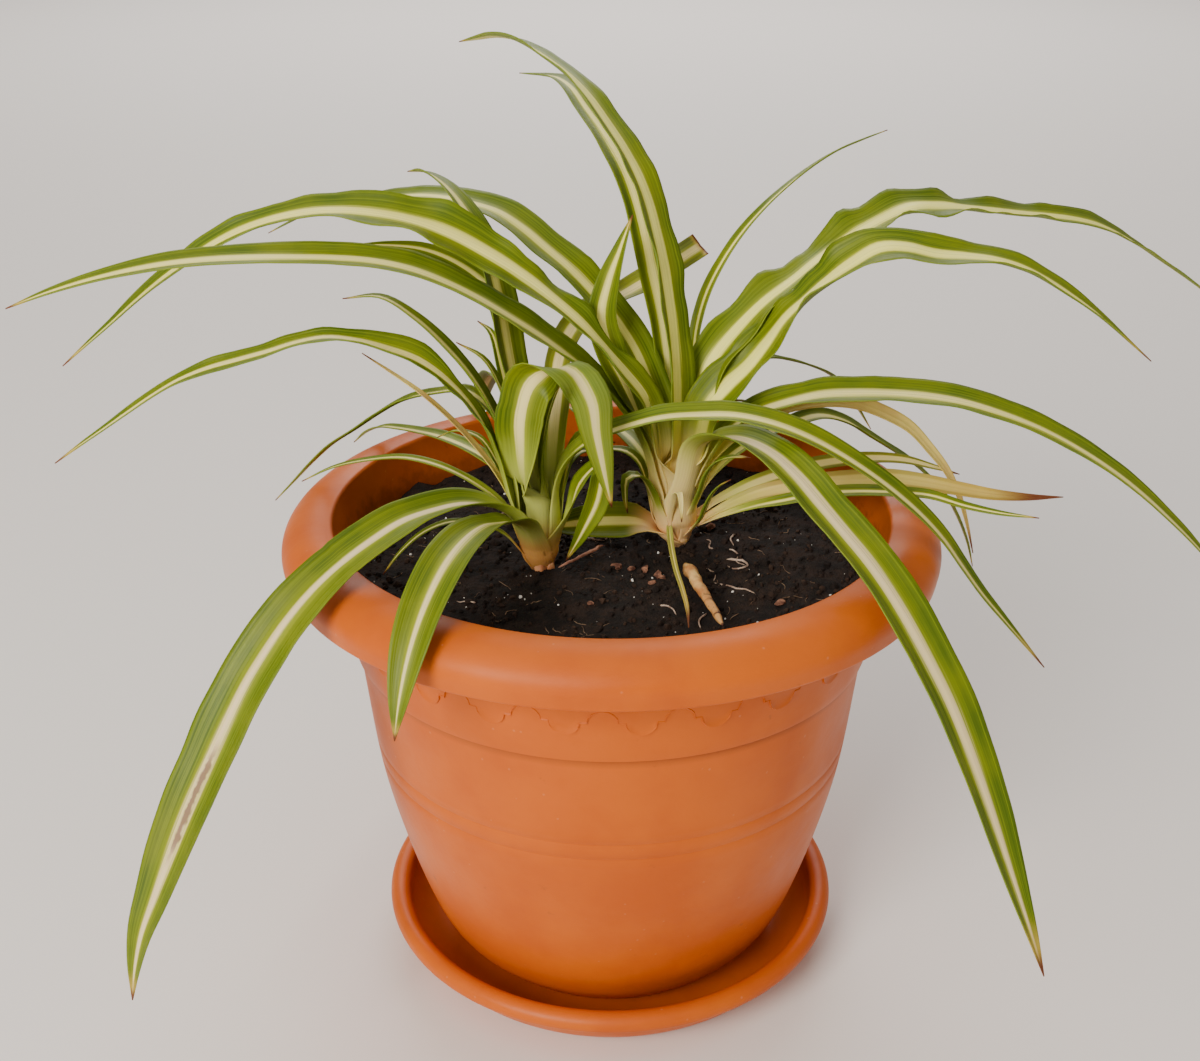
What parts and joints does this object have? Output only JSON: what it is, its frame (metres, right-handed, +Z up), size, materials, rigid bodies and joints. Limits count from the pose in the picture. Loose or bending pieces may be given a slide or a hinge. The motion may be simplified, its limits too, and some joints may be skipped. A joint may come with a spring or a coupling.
{
  "type": "potted spider plant",
  "caption": "Houseplant with long arching striped leaves that grow from two crowns, in a round tapered plastic pot with a rolled rim that stands on its saucer.",
  "frame": {"origin": "centre of the saucer's flat underside, on the pot's axis", "axes": "+Z up along the pot's axis, -Y is the front, +X is to the right, towards the longest leaf"},
  "size_m": [0.4926, 0.3055, 0.3571],
  "materials": {
    "pot_plastic": "satin",
    "saucer_plastic": "satin",
    "potting_soil": "matte",
    "striped_leaf": "satin",
    "leaf_base": "satin",
    "root_skin": "matte"
  },
  "bodies": {
    "root": {"crown_left": "leaf_base", "crown_right": "leaf_base", "leaf_left_arch_back_left": "striped_leaf", "leaf_left_arch_left_back": "striped_leaf", "leaf_left_arch_right_low": "striped_leaf", "leaf_left_droop_back": "striped_leaf", "leaf_left_droop_front_left": "striped_leaf", "leaf_left_fold_over": "striped_leaf", "leaf_left_hair_tipped": "striped_leaf", "leaf_left_leaning_back": "striped_leaf", "leaf_left_low_back": "striped_leaf", "leaf_left_low_front_sprout": "striped_leaf", "leaf_left_low_left": "striped_leaf", "leaf_left_nod_front": "striped_leaf", "leaf_left_ruffled_left": "striped_leaf", "leaf_left_short_folded": "striped_leaf", "leaf_left_short_front_left": "striped_leaf", "leaf_left_short_right_back": "striped_leaf", "leaf_left_short_right_back_low": "striped_leaf", "leaf_left_sliver_left": "striped_leaf", "leaf_left_spire_left": "striped_leaf", "leaf_left_thin_tan": "striped_leaf", "leaf_left_upright_curved": "striped_leaf", "leaf_left_upright_narrow": "striped_leaf", "leaf_right_arch_behind": "striped_leaf", "leaf_right_arch_left_high": "striped_leaf", "leaf_right_arch_left_low": "striped_leaf", "leaf_right_arch_left_ruffled": "striped_leaf", "leaf_right_arch_right": "striped_leaf", "leaf_right_arch_tall": "striped_leaf", "leaf_right_curl_inner": "striped_leaf", "leaf_right_droop_back": "striped_leaf", "leaf_right_droop_front_right": "striped_leaf", "leaf_right_faded_right": "striped_leaf", "leaf_right_foot_front": "striped_leaf", "leaf_right_loop_back_right": "striped_leaf", "leaf_right_low_back": "striped_leaf", "leaf_right_low_green": "striped_leaf", "leaf_right_low_pale": "striped_leaf", "leaf_right_low_yellow": "striped_leaf", "leaf_right_nod_left": "striped_leaf", "leaf_right_ruffled_lower": "striped_leaf", "leaf_right_ruffled_upper": "striped_leaf", "leaf_right_short_back": "striped_leaf", "leaf_right_short_behind_left": "striped_leaf", "leaf_right_short_left": "striped_leaf", "leaf_right_sliver_front": "striped_leaf", "leaf_right_sliver_right": "striped_leaf", "leaf_right_spire_middle": "striped_leaf", "leaf_right_spire_right": "striped_leaf", "leaf_right_trail_back_right": "striped_leaf", "pot": "pot_plastic", "root_surface": "root_skin", "root_twig": "root_skin", "saucer": "saucer_plastic", "soil": "potting_soil"}
  },
  "joints": []
}
